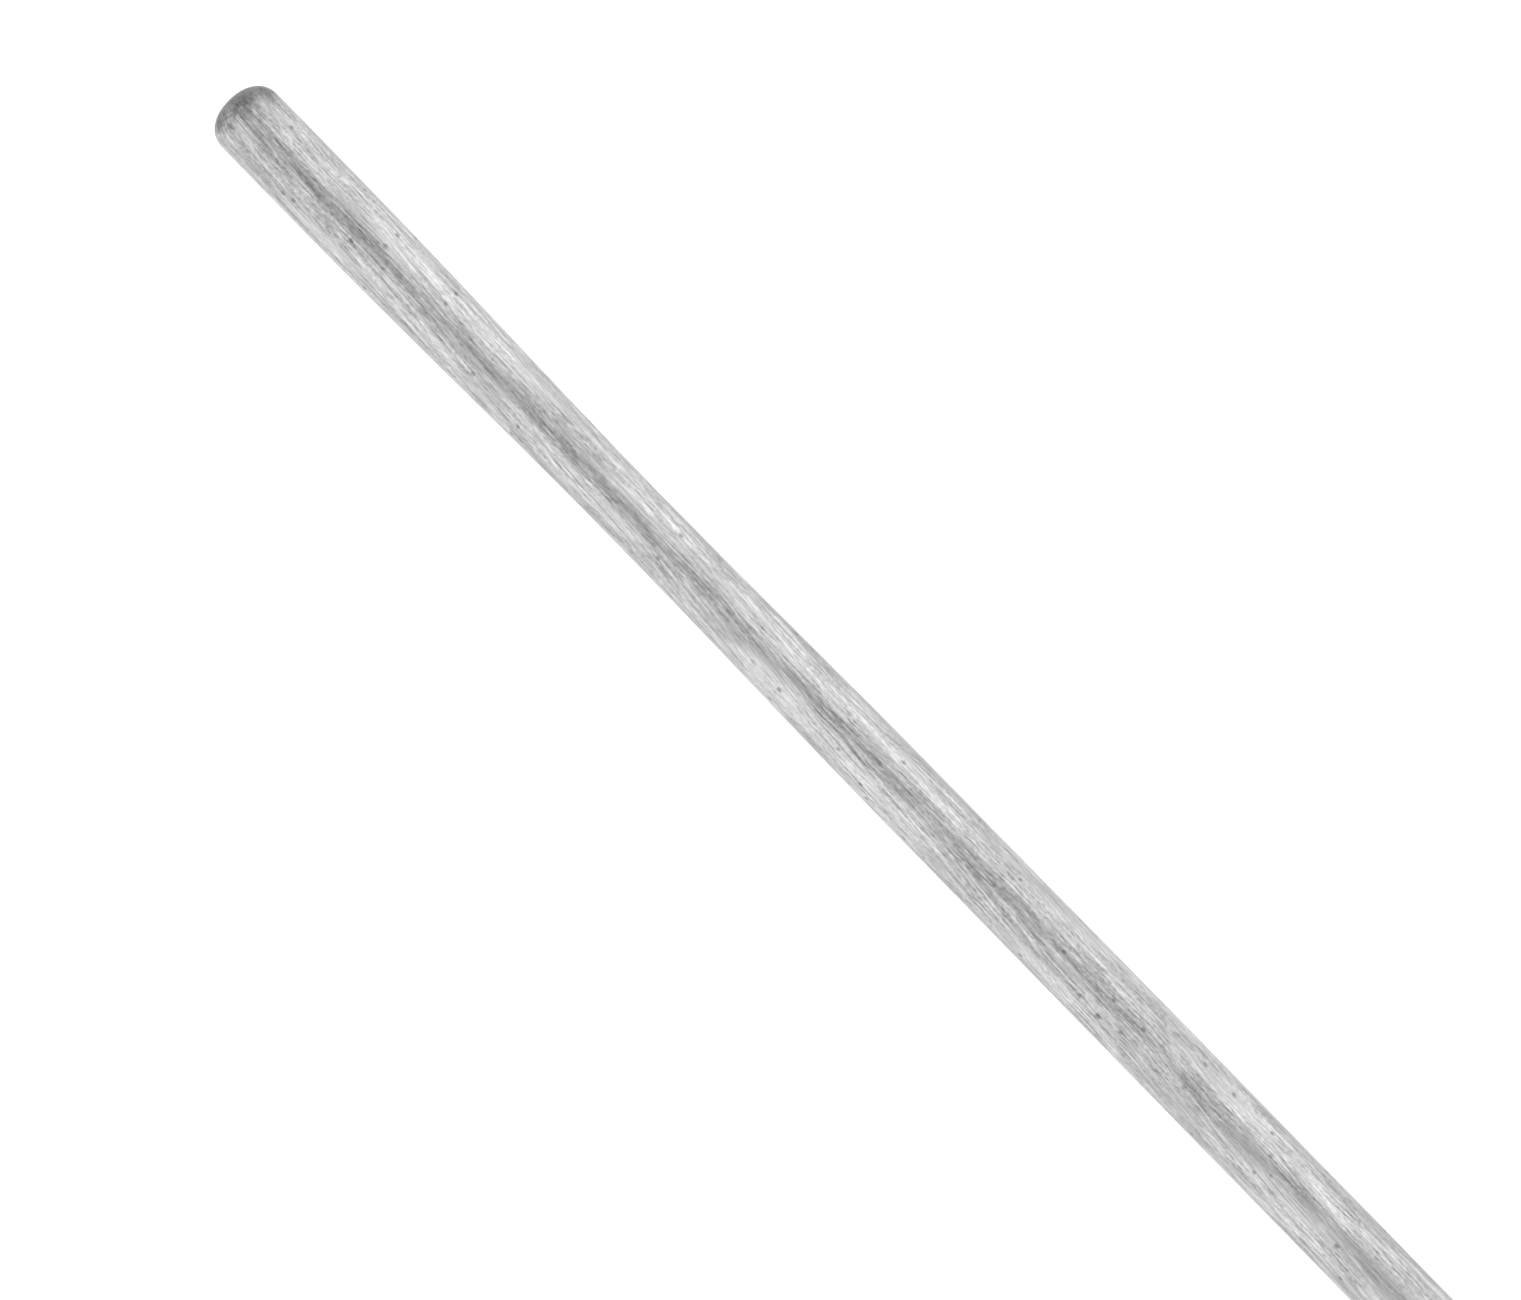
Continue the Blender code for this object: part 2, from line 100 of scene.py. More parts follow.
# %% A wrapped socket
class Field:
    """A node's output that varies over a surface, with the arithmetic that finishes need."""

    def __init__(self, finish, socket):
        self.finish = finish
        self.socket = socket

    def maths(self, operation, *values, clamp=False):
        settings = {"operation": operation, "use_clamp": clamp}
        return self.finish.node("ShaderNodeMath", settings, *values)

    def __add__(self, other):
        return self.maths("ADD", self, other)

    def __sub__(self, other):
        return self.maths("SUBTRACT", self, other)

    def __rsub__(self, other):
        return self.maths("SUBTRACT", other, self)

    def __mul__(self, other):
        return self.maths("MULTIPLY", self, other)

    def __truediv__(self, other):
        return self.maths("DIVIDE", self, other)

    def __pow__(self, other):
        return self.maths("POWER", self, other)

    def __abs__(self):
        return self.maths("ABSOLUTE", self)

    __radd__ = __add__
    __rmul__ = __mul__

    def clamped(self):
        return self.maths("ADD", self, 0.0, clamp=True)

    def between(self, low, high):
        """0 where this is at low, 1 at high, with an eased step from one to the other."""
        settings = {"interpolation_type": "SMOOTHSTEP", "clamp": True}
        return self.finish.node("ShaderNodeMapRange", settings, self, low, high, 0.0, 1.0)


print("maths on sockets ready")

# %% [markdown]
# ## A finish and its patterns
#
# Every node that isn't maths comes from one method, `node`. It takes the node's type, its settings,
# and then what goes into its sockets. The settings go first, because they decide which sockets are
# in use: a Mix node set to colours hides the sockets for plain numbers. Every finish reads Object
# coordinates, which are plain metres here, so a scale of 1000 puts about one grain on each
# millimetre. What is the same all over a surface is set once, on the shader's own socket.

# %% A finish and its patterns
class Finish:
    """One material, with its Principled shader and the patterns that feed it."""

    def __init__(self, name, constants):
        self.material = bpy.data.materials.new(name)
        self.material.use_nodes = True
        self.tree = self.material.node_tree
        self.shader = self.tree.nodes["Principled BSDF"]
        for socket, value in constants.items():
            self.shader.inputs[socket].default_value = value
        self.position = self.node("ShaderNodeTexCoord", {}, output="Object")

    def connect(self, value, socket):
        """Links a varying value to a socket, or sets the socket to a plain one."""
        if isinstance(value, Field):
            self.tree.links.new(value.socket, socket)
        else:
            socket.default_value = value

    def node(self, kind, settings, *values, output=None, **named):
        """Adds a node. values go to its sockets in order, and named ones by their names."""
        made = self.tree.nodes.new(kind)
        for name, value in settings.items():
            setattr(made, name, value)
        in_use = [socket for socket in made.inputs if socket.enabled]
        for socket, value in zip(in_use, values):
            self.connect(value, socket)
        for name, value in named.items():
            self.connect(value, made.inputs[name.replace("_", " ")])
        if output:
            return Field(self, made.outputs[output])
        return Field(self, next(socket for socket in made.outputs if socket.enabled))

    def stretched(self, scale, shift=(0.0, 0.0, 0.0)):
        """Object coordinates with a scale for each axis, in grains per metre."""
        named = {"Scale": scale, "Location": shift}
        return self.node("ShaderNodeMapping", {}, self.position, **named)

    def noise(self, scale, detail=2.0, rough=0.5, shift=(0.0, 0.0, 0.0), place=None):
        """Soft noise from 0 to 1 with a grain of that size."""
        place = place or self.stretched(scale, shift)
        named = {"Scale": 1.0, "Detail": detail, "Roughness": rough}
        return self.node("ShaderNodeTexNoise", {}, place, **named)

    def cells(self, scale, shift=(0.0, 0.0, 0.0)):
        """(distance to the nearest scattered point, a random number for each point)."""
        place = self.stretched(scale, shift)
        distance = self.node("ShaderNodeTexVoronoi", {}, place, Scale=1.0)
        tint = self.node("ShaderNodeTexVoronoi", {}, place, output="Color", Scale=1.0)
        return distance, self.axis(tint, "X")

    def axis(self, vector, name):
        """One component of a vector."""
        return self.node("ShaderNodeSeparateXYZ", {}, vector, output=name)

    def grey(self, value):
        """A grey of that lightness, as a colour."""
        return self.node("ShaderNodeCombineColor", {}, value, value, value)

    def blend(self, share, first, second):
        """A colour that goes from the first to the second as share goes from 0 to 1."""
        return self.node("ShaderNodeMix", {"data_type": "RGBA"}, share, first, second)

    def relief(self, height, depth):
        """Tilts the surface as if its height rose by that depth, in metres, from 0 to 1."""
        bump = self.node("ShaderNodeBump", {}, Height=height, Distance=depth, Strength=1.0)
        self.feed(Normal=bump)

    def feed(self, **values):
        """Sends values to the shader's sockets, named with _ for a space."""
        for socket, value in values.items():
            self.connect(value, self.shader.inputs[socket.replace("_", " ")])


def colour(red, green, blue):
    """A plain colour, with the alpha that colour sockets want."""
    return (red, green, blue, 1.0)


print("finishes read Object coordinates in metres")

# %% [markdown]
# ## Bare scored aluminium
#
# The lowest tube is bare metal. Years of sliding through its lock have scored it along its length:
# long shallow ripples, finer scratches between them, a few that cross at a small angle, and small
# pits. The long marks are noise with a small scale along X, which draws each grain out. A hairline
# is where such a noise crosses its middle value, since that happens along a thin winding line.

# %% Patterns for scored metal
def scored(finish, length, width, shift=0.0, place=None):
    """Noise drawn out along the cane, with grains of that length and width in metres."""
    scale = (1 / length, 1 / width, 1 / width)
    if place:
        place = finish.node("ShaderNodeMapping", {}, place, Scale=scale)
    return finish.noise(scale, detail=2.0, shift=(shift, 0.0, 0.0), place=place)


def wound(finish, slope, sway, shift):
    """Object coordinates wound round the cane, so that scored marks cross its length slightly.

    slope is the steady part, as metres round the skin for each metre along. sway is how far, in
    radians, the marks wander to either side of it.
    """
    wander = finish.noise((28.0, 0.0, 0.0), detail=1.0, shift=(shift, shift, 0.0)) - 0.5
    angle = finish.axis(finish.position, "X") * (slope / NOSE_RADIUS) + wander * (2 * sway)
    named = {"Vector": finish.position, "Center": (0.0, 0.0, AXIS.z), "Angle": angle}
    return finish.node("ShaderNodeVectorRotate", {"rotation_type": "X_AXIS"}, **named)


def thin_lines(field, width):
    """1 along the places where a noise crosses its middle, 0 elsewhere: hairline marks."""
    return 1 - abs(field - 0.5).between(0.0, width)


print("scored, wound and thin_lines ready")

# %% [markdown]
# ## The bare metal, layer by layer
#
# The lightness of the metal is a sum of layers, each a noise less its middle value times a weight,
# so that a layer adds contrast without making the whole brighter. The scratches lean on one side of
# the tube and are fainter in calm patches, as wear is never even. The nose, which meets the
# ground, is duller, through a higher roughness, and darker: the darkening is painted shade, for the
# dark surroundings that its rounded end mirrors. The same layers make the relief.

# %% Make bare_aluminium
def nose_shade_and_wear(finish):
    """1 on the nose, which is rougher and darkened with painted shade, with a ragged edge, and 0 on
    the rest of the tube.
    """
    from_tip = TIP - finish.axis(finish.position, "X")
    ragged_edge_noise = finish.noise((400.0, 500.0, 500.0), detail=4.0, rough=0.65)
    shade_reach = from_tip + 0.16 * finish.axis(finish.position, "Y")
    # The darkening that this mask brings is painted shade, for the dark surroundings that the nose
    # mirrors.
    worn = 1 - (shade_reach + 7 * MM * (ragged_edge_noise - 0.5)).between(1.0 * MM, 5.2 * MM)
    return worn * from_tip.between(-0.9 * MM, 0.6 * MM)


def make_bare_aluminium():
    finish = Finish("bare_aluminium", {"Metallic": 1.0})
    straight = wound(finish, 0.0, 0.25, 1.0)
    leaning = wound(finish, -0.10, 0.2, 4.0)
    ripples = scored(finish, 16 * MM, 0.9 * MM, place=straight)
    grain = scored(finish, 8 * MM, 0.34 * MM, place=straight)
    crossing = scored(finish, 10 * MM, 0.38 * MM, place=leaning)
    fine = scored(finish, 2.2 * MM, 0.2 * MM, place=straight)
    hairs = scored(finish, 1.1 * MM, 0.09 * MM, place=straight)
    speckle = finish.noise((1700.0, 2700.0, 2700.0), detail=2.0, rough=0.6)
    lean = finish.axis(finish.position, "Y").between(-1.0 * MM, 2.0 * MM)
    grain = grain * (1 - 0.7 * lean) + crossing * (0.7 * lean)
    clouds = finish.noise((110.0, 300.0, 300.0), detail=3.0, shift=(5.0, 0.0, 0.0))
    where = finish.noise((70.0, 420.0, 420.0), detail=1.0, shift=(11.0, 0.0, 0.0))
    bright = thin_lines(crossing, 0.07) * where.between(0.50, 0.58)
    dark = thin_lines(grain, 0.05) * (1 - where.between(0.42, 0.5))
    distance, chance = finish.cells((560.0, 700.0, 700.0))
    pits = (1 - distance.between(0.12, 0.3)) * chance.between(0.86, 0.89)
    nose_shade_and_wear_mask = nose_shade_and_wear(finish)
    patches = finish.noise((55.0, 330.0, 330.0), detail=1.0, shift=(17.0, 0.0, 0.0))
    calm = patches.between(0.46, 0.66)

    texture = 0.47 * (grain - 0.5) + 0.47 * (fine - 0.5) + 0.46 * (speckle - 0.5)
    texture = texture + 0.2 * (hairs - 0.5)
    light = 0.465 + 0.08 * (ripples - 0.5) + 0.22 * (crossing - 0.5) + 0.10 * (clouds - 0.5)
    light = light + texture * (1.06 - 0.55 * calm)
    light = light + 0.16 * bright - 0.13 * dark
    # The last factor is painted shade that darkens the nose.
    light = light * (1 - 0.42 * pits) * (1 - 0.56 * nose_shade_and_wear_mask)
    rough = 0.38 + 0.22 * (clouds - 0.5) + 0.12 * (speckle - 0.5) + 0.10 * nose_shade_and_wear_mask
    height = 0.5 * ripples + 0.60 * grain + 0.16 * crossing + 0.18 * fine + 0.06 * speckle
    height = height - 0.04 * bright - 0.06 * dark - 0.15 * pits
    finish.feed(Base_Color=finish.grey(light), Roughness=rough.clamped())
    finish.relief(height, 0.14 * MM)
    return finish.material


BARE_ALUMINIUM = make_bare_aluminium()
print("bare_aluminium:", len(BARE_ALUMINIUM.node_tree.nodes), "nodes")

# %% [markdown]
# ## White powder coat
#
# Powder coat flows into a fine orange peel. The middle tube slides through the collet, whose six
# jaws draw faint grey lines along it, so the coat carries thin lengthwise scuffs in worn patches,
# and here and there it is chipped to the metal. Metallic is 1 in a chip and 0 everywhere else.

# %% Make white_enamel
def make_white_enamel():
    finish = Finish("white_enamel", {"Coat Roughness": 0.12})
    peel = finish.noise((900.0, 900.0, 900.0), detail=2.0)
    tone = finish.noise((60.0, 140.0, 140.0), detail=3.0)
    lines = thin_lines(scored(finish, 40 * MM, 0.7 * MM), 0.02)
    worn = scored(finish, 30 * MM, 3.0 * MM, shift=5.0).between(0.5, 0.68)
    scuffs = lines * worn
    distance, chance = finish.cells((220.0, 300.0, 300.0), shift=(0.5, 0.0, 0.0))
    chips = (1 - distance.between(0.05, 0.10)) * chance.between(0.93, 0.94)
    coat = finish.blend(tone.between(0.3, 0.7), colour(0.58, 0.58, 0.565), colour(0.65, 0.65, 0.64))
    marked = finish.blend(0.38 * scuffs, coat, colour(0.30, 0.30, 0.31))
    finish.feed(Base_Color=finish.blend(chips, marked, colour(0.42, 0.42, 0.43)))
    finish.feed(Metallic=chips, Roughness=0.30 + 0.25 * scuffs + 0.08 * (tone - 0.5))
    finish.feed(Coat_Weight=0.35 * (1 - scuffs) * (1 - chips))
    finish.relief(peel - 0.8 * chips - 0.2 * scuffs, 0.035 * MM)
    return finish.material


WHITE_ENAMEL = make_white_enamel()
print("white_enamel:", len(WHITE_ENAMEL.node_tree.nodes), "nodes")

# %% [markdown]
# ## Reflective white sheet
#
# The sleeve on the top tube is a sheet of tiny lens cells under a clear film, sealed in a lattice
# of raised lines. The lattice comes from the angle round the tube and the length along it: two
# sets of slanted lines that cross make the diamonds.

# %% Make reflective_white
DIAMONDS_ROUND = 14
DIAMOND_LENGTH = 4.0 * MM


def round_angle(finish):
    """Angle round the cane's axis, in turns from -0.5 to 0.5."""
    across = finish.axis(finish.position, "Y")
    up = finish.axis(finish.position, "Z") - AXIS.z
    return across.maths("ARCTAN2", across, up) / (2 * math.pi)


def make_reflective_white():
    finish = Finish("reflective_white", {"Coat Roughness": 0.08})
    turn = round_angle(finish) * DIAMONDS_ROUND
    along = finish.axis(finish.position, "X") / DIAMOND_LENGTH
    lines = []
    for slant in (turn + along, turn - along):
        lines.append(1 - abs(slant.maths("FRACT", slant) - 0.5).between(0.0, 0.07))
    lattice = turn.maths("MAXIMUM", *lines)
    sparkle, chance = finish.cells((4200.0, 4200.0, 4200.0))
    tone = finish.noise((90.0, 220.0, 220.0), detail=3.0)
    cell = finish.blend(chance, colour(0.44, 0.45, 0.47), colour(0.54, 0.55, 0.57))
    sheet = finish.blend(lattice, cell, colour(0.66, 0.66, 0.65))
    grime = 0.25 * tone.between(0.52, 0.8)
    finish.feed(Base_Color=finish.blend(grime, sheet, colour(0.45, 0.44, 0.42)))
    finish.feed(Metallic=0.3 * (1 - lattice), Roughness=0.34 + 0.2 * lattice + 0.1 * chance)
    finish.feed(Coat_Weight=0.4 * (1 - 0.6 * lattice))
    finish.relief(lattice + 0.12 * sparkle, 0.05 * MM)
    return finish.material


REFLECTIVE_WHITE = make_reflective_white()
print("reflective_white:", len(REFLECTIVE_WHITE.node_tree.nodes), "nodes")

# %% [markdown]
# ## Black rubber and black plastic
#
# Rubber is dull, a little dusty where hands don't polish it, and never quite black. The moulded
# plastic of the locks and the cap is harder: a fine spark-eroded texture, with a slight gloss and
# hairline scratches. Both get their depth from roughness and relief more than from colour.

# %% Make black_rubber and black_plastic
def make_black_rubber():
    finish = Finish("black_rubber", {"Specular IOR Level": 0.35})
    skin = finish.noise((2200.0, 2200.0, 2200.0), detail=3.0)
    dust = finish.noise((70.0, 240.0, 240.0), detail=4.0, rough=0.6).between(0.35, 0.9)
    speck = finish.noise((3600.0, 3600.0, 3600.0), detail=2.0, shift=(9.0, 0.0, 0.0))
    dusty = dust * speck.between(0.42, 0.72)
    rubber = finish.blend(skin, colour(0.018, 0.018, 0.019), colour(0.034, 0.034, 0.035))
    finish.feed(Base_Color=finish.blend(0.3 * dusty, rubber, colour(0.16, 0.155, 0.15)))
    finish.feed(Roughness=0.56 + 0.2 * dust + 0.2 * (skin - 0.5))
    finish.relief(skin, 0.08 * MM)
    return finish.material


def make_black_plastic():
    finish = Finish("black_plastic", {})
    eroded = finish.noise((2600.0, 2600.0, 2600.0), detail=2.0)
    tone = finish.noise((150.0, 300.0, 300.0), detail=3.0)
    lines = finish.noise((120.0, 2600.0, 900.0), detail=1.0, shift=(3.0, 0.0, 0.0))
    rubbed = tone.between(0.5, 0.75)
    hair = thin_lines(lines, 0.012) * rubbed
    plastic = finish.blend(tone, colour(0.022, 0.022, 0.024), colour(0.036, 0.036, 0.038))
    finish.feed(Base_Color=finish.blend(0.3 * hair, plastic, colour(0.14, 0.14, 0.14)))
    finish.feed(Roughness=0.42 - 0.14 * rubbed + 0.12 * (eroded - 0.5) + 0.15 * hair)
    finish.relief(eroded - 0.5 * hair, 0.06 * MM)
    return finish.material


BLACK_RUBBER = make_black_rubber()
BLACK_PLASTIC = make_black_plastic()
print("black_rubber and black_plastic made")

# %% [markdown]
# ## Nylon and ground steel
#
# The collets, plugs and shims are natural nylon: milky, with faint flow lines, and greyed where
# they rub. The cross pin is ground steel, with marks that run round it. They are hidden in use,
# but someone who takes the cane apart sees them.

# %% Make natural_nylon and steel
def make_natural_nylon():
    finish = Finish("natural_nylon", {"Subsurface Weight": 0.2, "Subsurface Scale": 1.5 * MM})
    flow = finish.noise((260.0, 700.0, 700.0), detail=3.0)
    rubbed = scored(finish, 8 * MM, 0.8 * MM, shift=2.0).between(0.52, 0.7)
    nylon = finish.blend(flow, colour(0.70, 0.67, 0.60), colour(0.82, 0.80, 0.75))
    finish.feed(Base_Color=finish.blend(0.3 * rubbed, nylon, colour(0.40, 0.39, 0.37)))
    finish.feed(Roughness=0.42 + 0.2 * (flow - 0.5) + 0.1 * rubbed)
    finish.relief(flow - 0.4 * rubbed, 0.02 * MM)
    return finish.material


def make_steel():
    finish = Finish("steel", {"Metallic": 1.0})
    ground = finish.noise((4200.0, 700.0, 4200.0), detail=2.0)
    tone = finish.noise((400.0, 400.0, 400.0), detail=2.0)
    finish.feed(Base_Color=finish.grey(0.5 + 0.14 * (ground - 0.5) + 0.1 * (tone - 0.5)))
    finish.feed(Roughness=0.28 + 0.2 * (ground - 0.5))
    finish.relief(ground, 0.01 * MM)
    return finish.material


NYLON = make_natural_nylon()
STEEL = make_steel()
print("natural_nylon and steel made")

# %% [markdown]
# ## Turning a piece
#
# Almost everything on a cane is made on a lathe or in a round mould. We do the same: draw half of
# the piece's section as a few points, each a length along X and a radius, and spin it round the
# axis. Sharp edges are then bevelled, since real ones are broken with a file or a mould radius.
# After a spin the doubles are merged and then the normals recalculated, in that order, because a
# spin can leave a seam and can turn the shape inside out. Blender numbers the points of a merged
# mesh in no fixed order, so we sort them, and every run gives the same mesh.

# %% Helpers for turned pieces
MERGE = 0.001 * MM
SORT_ALONG = Vector((1.0, 0.618, 0.414))  # slanted, so that hardly any two points are level


def spun(outline, steps, closed=True):
    """A bmesh spun from (x, radius) points round the cane's axis.

    An outline that isn't closed starts and ends on the axis.
    """
    bm = bmesh.new()
    points = [bm.verts.new((x, 0.0, AXIS.z + radius)) for x, radius in outline]
    pairs = list(zip(points, points[1:]))
    if closed:
        pairs.append((points[-1], points[0]))
    edges = [bm.edges.new(pair) for pair in pairs]
    bmesh.ops.spin(
        bm,
        geom=points + edges,
        cent=AXIS,
        axis=(1, 0, 0),
        angle=2 * math.pi,
        steps=steps,
        use_merge=True,
    )
    bmesh.ops.remove_doubles(bm, verts=bm.verts, dist=MERGE)
    bmesh.ops.recalc_face_normals(bm, faces=bm.faces)
    return bm


def settle(bm):
    """Sorts the points, edges and faces by place, so that every run numbers them alike."""
    bm.verts.sort(key=lambda vert: vert.co.dot(SORT_ALONG))
    bm.edges.sort(key=lambda edge: (edge.verts[0].co + edge.verts[1].co).dot(SORT_ALONG))
    bm.faces.sort(key=lambda face: face.calc_center_median().dot(SORT_ALONG))


def sharp_edges(bm, least=math.radians(28)):
    """The edges at which the surface turns by more than that angle."""
    return [edge for edge in bm.edges if edge.calc_face_angle(0.0) > least]


def soften(bm, edges, width, segments=3):
    """Rounds those edges."""
    bmesh.ops.bevel(
        bm,
        geom=edges,
        offset=width,
        offset_type="OFFSET",
        affect="EDGES",
        segments=segments,
        profile=0.5,
        clamp_overlap=True,
        material=-1,
    )


def eased(start, end, share):
    """A value that leaves start and reaches end with no slope."""
    return start + (end - start) * (1 - math.cos(math.pi * share)) / 2


def move_skin(bm, outside, shift):
    """Moves every point farther from the axis than outside(x) in or out by shift(point)."""
    for vert in bm.verts:
        radial = Vector((0.0, vert.co.y, vert.co.z - AXIS.z))
        if radial.length > outside(vert.co.x):
            vert.co += radial.normalized() * shift(vert.co)


print("lathe ready")

# %% [markdown]
# ## Joining and drilling
#
# Some shapes aren't round all the way: the cap has a flat lug, and both inner tubes have a hole
# through them for the pegs that hold their shims. For these we use a Boolean. It is a modifier, so
# the two solids become objects for a moment, and the joined mesh is read back from the first one.
# A hole is drilled by cutting away a rod.

# %% Helpers for joining and drilling
ACROSS = Vector((0, 20 * MM, 0))
PEG_HOLE_RADIUS = 1.65 * MM
PEG_AT = 22 * MM  # distance of the shims' pegs from the upper end of their tube


def boolean(bm, other, operation):
    """Joins other to the first mesh, or cuts it away, and gives back the result."""
    objects = []
    for mesh_data in (bm, other):
        mesh = bpy.data.meshes.new("working")
        mesh_data.to_mesh(mesh)
        mesh_data.free()
        working = bpy.data.objects.new("working", mesh)
        bpy.context.scene.collection.objects.link(working)
        objects.append(working)
    modifier = objects[0].modifiers.new("boolean", "BOOLEAN")
    modifier.operation = operation
    modifier.object = objects[1]
    graph = bpy.context.evaluated_depsgraph_get()
    result = bmesh.new()
    result.from_mesh(objects[0].evaluated_get(graph).data)
    for working in objects:
        bpy.data.meshes.remove(working.data)
    bmesh.ops.remove_doubles(result, verts=result.verts, dist=MERGE)
    bmesh.ops.recalc_face_normals(result, faces=result.faces)
    settle(result)
    return result


def rod(radius, start, end, segments=32):
    """A closed cylinder from one point to another."""
    axis = Vector(end) - Vector(start)
    turn = Vector((0, 0, 1)).rotation_difference(axis).to_matrix().to_4x4()
    bm = bmesh.new()
    bmesh.ops.create_cone(
        bm,
        cap_ends=True,
        segments=segments,
        radius1=radius,
        radius2=radius,
        depth=axis.length,
        matrix=Matrix.Translation(Vector(start) + axis / 2) @ turn,
    )
    return bm


def drilled(bm, x, radius):
    """The same solid with a hole right through it, level and square to the axis, at x."""
    middle = Vector((x, 0.0, AXIS.z))
    return boolean(bm, rod(radius, middle - ACROSS, middle + ACROSS), "DIFFERENCE")


print("drill ready")

# %% [markdown]
# ## Putting a piece on the cane
#
# A finished mesh becomes an object with its finish, rides on the body that carries it, and stands
# in for one or more pieces of the working model. Its faces are shaded smooth, except across edges
# that turn by more than 38 degrees.

# %% Helper that adds a piece
def add_piece(name, bm, material, body, slot, *nodes):
    """Makes the piece's object, gives it its finish, parents it to its body and hides the CAD nodes
    it stands in for.
    """
    mesh = bpy.data.meshes.new(name)
    settle(bm)
    bm.to_mesh(mesh)
    bm.free()
    mesh.materials.append(material)
    mesh.shade_smooth()
    mesh.set_sharp_from_angle(angle=math.radians(38))
    piece = bpy.data.objects.new(name, mesh)
    bpy.context.scene.collection.objects.link(piece)
    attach(piece, body)
    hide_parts(*nodes)
    print(f"{name}: {len(mesh.polygons)} faces")


print("pieces can be added")

# %% [markdown]
# ## The bare lower tube
#
# The hero piece. Its end is swaged shut: a flattened dome, a slightly swollen nose, then a shallow
# waist before the tube reaches its full size. The outline is a formula for the dome and eased steps
# between the stations. After spinning, every point of the skin moves in or out by hundredths of a
# millimetre, as drawn tube that has been used really is, so the light wanders along it.

# %% Model the lower tube
SHAFT_RADIUS = 4.8 * MM
WALL = 0.8 * MM
DOME_LENGTH = 3.6 * MM
DOME_FLATNESS = 2.35  # 2 is a half ellipse, and more flattens the very end
SOLID_NOSE = 16 * MM
STATIONS = (  # (distance from the tip, radius)
    (18 * MM, NOSE_RADIUS),
    (76 * MM, 4.27 * MM),
    (128 * MM, 4.72 * MM),
    (180 * MM, SHAFT_RADIUS),
)
ROW = 1.6 * MM
TUBE_STEPS = 144
DOME_STEPS = 16
RIPPLE_HEIGHT = 0.01 * MM
SWELLING_HEIGHT = 0.02 * MM
INSIDE_SKIN = 4.1 * MM  # lies between the bore and the skin, all along the tube
NEAR_AXIS = 1.0 * MM


def skin_outline():
    """(distance from the tip, radius) down the outside, from the tip to the upper end."""
    outline = [(0.0, 0.0)]
    for step in range(1, DOME_STEPS + 1):
        turn = math.pi / 2 * step / DOME_STEPS
        radius = NOSE_RADIUS * math.sin(turn) ** (2 / DOME_FLATNESS)
        outline.append((DOME_LENGTH * (1 - math.cos(turn)), radius))
    last_at, last_radius = outline[-1]
    for at, radius in (*STATIONS, (tube_high.x - tube_low.x, SHAFT_RADIUS)):
        rows = math.ceil((at - last_at) / ROW)
        for row in range(1, rows + 1):
            share = row / rows
            outline.append((last_at + (at - last_at) * share, eased(last_radius, radius, share)))
        last_at, last_radius = at, radius
    return outline


def waviness(point):
    """How far a point of the skin lies out of true: long drawn ripples and broad swellings."""
    ripples = noise.noise(Vector((point.x * 60, point.y * 420, point.z * 420)))
    swelling = noise.noise(Vector((point.x * 18 + 40, point.y * 130, point.z * 130)))
    return RIPPLE_HEIGHT * ripples + SWELLING_HEIGHT * swelling


def lower_tube():
    outside = skin_outline()
    inside = [(at, radius - WALL) for at, radius in outside[::4] if at > SOLID_NOSE]
    inside[-1] = (outside[-1][0], SHAFT_RADIUS - WALL)
    section = [*outside, *reversed(inside), (SOLID_NOSE, inside[0][1]), (SOLID_NOSE, 0.0)]
    bm = spun([(TIP - at, radius) for at, radius in section], TUBE_STEPS, closed=False)
    move_skin(bm, lambda x: INSIDE_SKIN if x < TIP - SOLID_NOSE else NEAR_AXIS, waviness)
    return drilled(bm, tube_low.x + PEG_AT, PEG_HOLE_RADIUS)


add_piece(
    "bare_lower_tube", lower_tube(), BARE_ALUMINIUM, "lower", "bare_aluminium", "lower_tube"
)

# %% [markdown]
# ## The white middle tube and the reflective sleeve
#
# Both are plain tubes with broken edges. The sleeve is one sheet wrapped round the top tube, so it
# has a lap: a strip along its underside where the sheet lies on itself.

# %% Model the middle tube and the sleeve
SHEET = 0.3 * MM
LAP_HEIGHT = 0.12 * MM
LAP_FROM, LAP_TO = math.radians(205), math.radians(222)


def ring_section(start, end, bore, radius):
    """The section of a plain tube, as four corners."""
    return [(start, bore), (start, radius), (end, radius), (end, bore)]


def middle_tube():
    start, end, radius = extent("middle_tube")
    bm = spun(ring_section(start, end, radius - WALL, radius), 96)
    soften(bm, sharp_edges(bm), 0.15 * MM)
    return drilled(bm, start + PEG_AT, PEG_HOLE_RADIUS)


def reflective_sleeve():
    start, end, radius = extent("reflective_sleeve")
    bm = spun(ring_section(start, end, radius - SHEET, radius), 180)

    def lap(point):
        angle = math.atan2(point.y, point.z - AXIS.z) % (2 * math.pi)
        return LAP_HEIGHT if LAP_FROM < angle < LAP_TO else 0.0

    move_skin(bm, lambda x: radius - SHEET / 2, lap)
    soften(bm, sharp_edges(bm, math.radians(60)), 0.05 * MM, segments=2)
    return bm


add_piece(
    "white_middle_tube", middle_tube(), WHITE_ENAMEL, "middle", "white_enamel", "middle_tube"
)
add_piece(
    "reflective_sheet",
    reflective_sleeve(),
    REFLECTIVE_WHITE,
    "handle",
    "reflective_white",
    "reflective_sleeve",
)

# %% [markdown]
# ## The twist locks
#
# Each lock shows two pieces: the ferrule, of which only a tapered shoulder is in sight, and the
# collar. The ferrule is a threaded sleeve round the end of the wider tube. Its thread is hidden
# under the collar and is drawn plain, and a lip at its end stops the narrower tube's shims.

# %% Model the ferrules
FIT = 0.25 * MM  # room between pieces that sit still on each other
RUN = 0.25 * MM  # and between pieces that turn or slide
FERRULE_WALL = 1.0 * MM
FERRULE_FLANGE = 4 * MM
FERRULE_LIP = 2 * MM
FERRULE_LIP_GAP = 0.3 * MM


